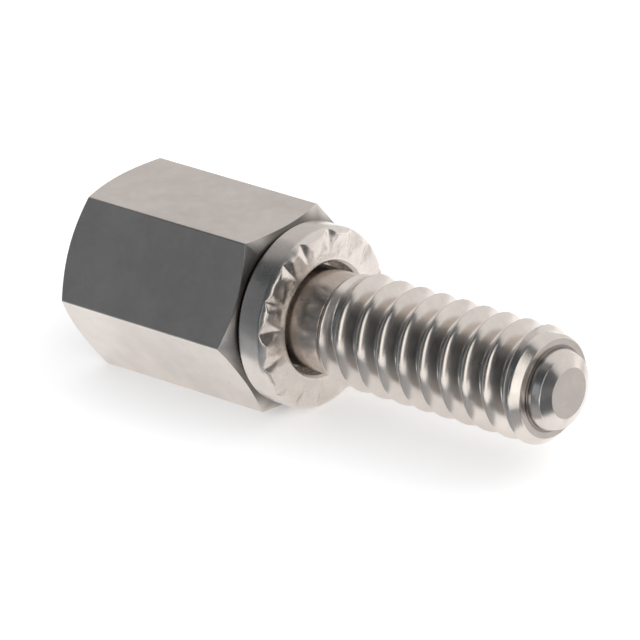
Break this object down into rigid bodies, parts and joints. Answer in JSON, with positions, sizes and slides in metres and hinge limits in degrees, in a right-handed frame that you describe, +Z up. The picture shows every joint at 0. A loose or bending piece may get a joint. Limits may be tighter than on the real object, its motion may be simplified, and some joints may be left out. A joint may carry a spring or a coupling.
{
  "type": "captive hex jackscrew",
  "caption": "Hexagonal jackscrew with a tapped end, a loose serrated washer held captive on its plain shank, and a threaded stud ending in a short dog point.",
  "frame": {"origin": "under the middle of the screw's length, on the plane that the hexagon's lower flat rests on", "axes": "+X along the screw from the tapped end of the hexagon to the dog point, +Z up out of the resting flat, +Y sideways across the hexagon's corners"},
  "size_m": [0.0172, 0.0064, 0.0055],
  "materials": {
    "screw_metal": "satin plated steel, faint lengthwise draw marks on the hexagon",
    "washer_metal": "satin plated steel, bright on the serrations' edges"
  },
  "bodies": {
    "screw": {"jackscrew": "screw_metal"},
    "washer": {"serrated_washer": "washer_metal"}
  },
  "joints": [
    {"name": "washer_spin", "type": "hinge", "parent": "screw", "child": "washer", "pos_m": [-0.00112, 0, 0.00275], "axis": [1, 0, 0], "continuous": true}
  ]
}
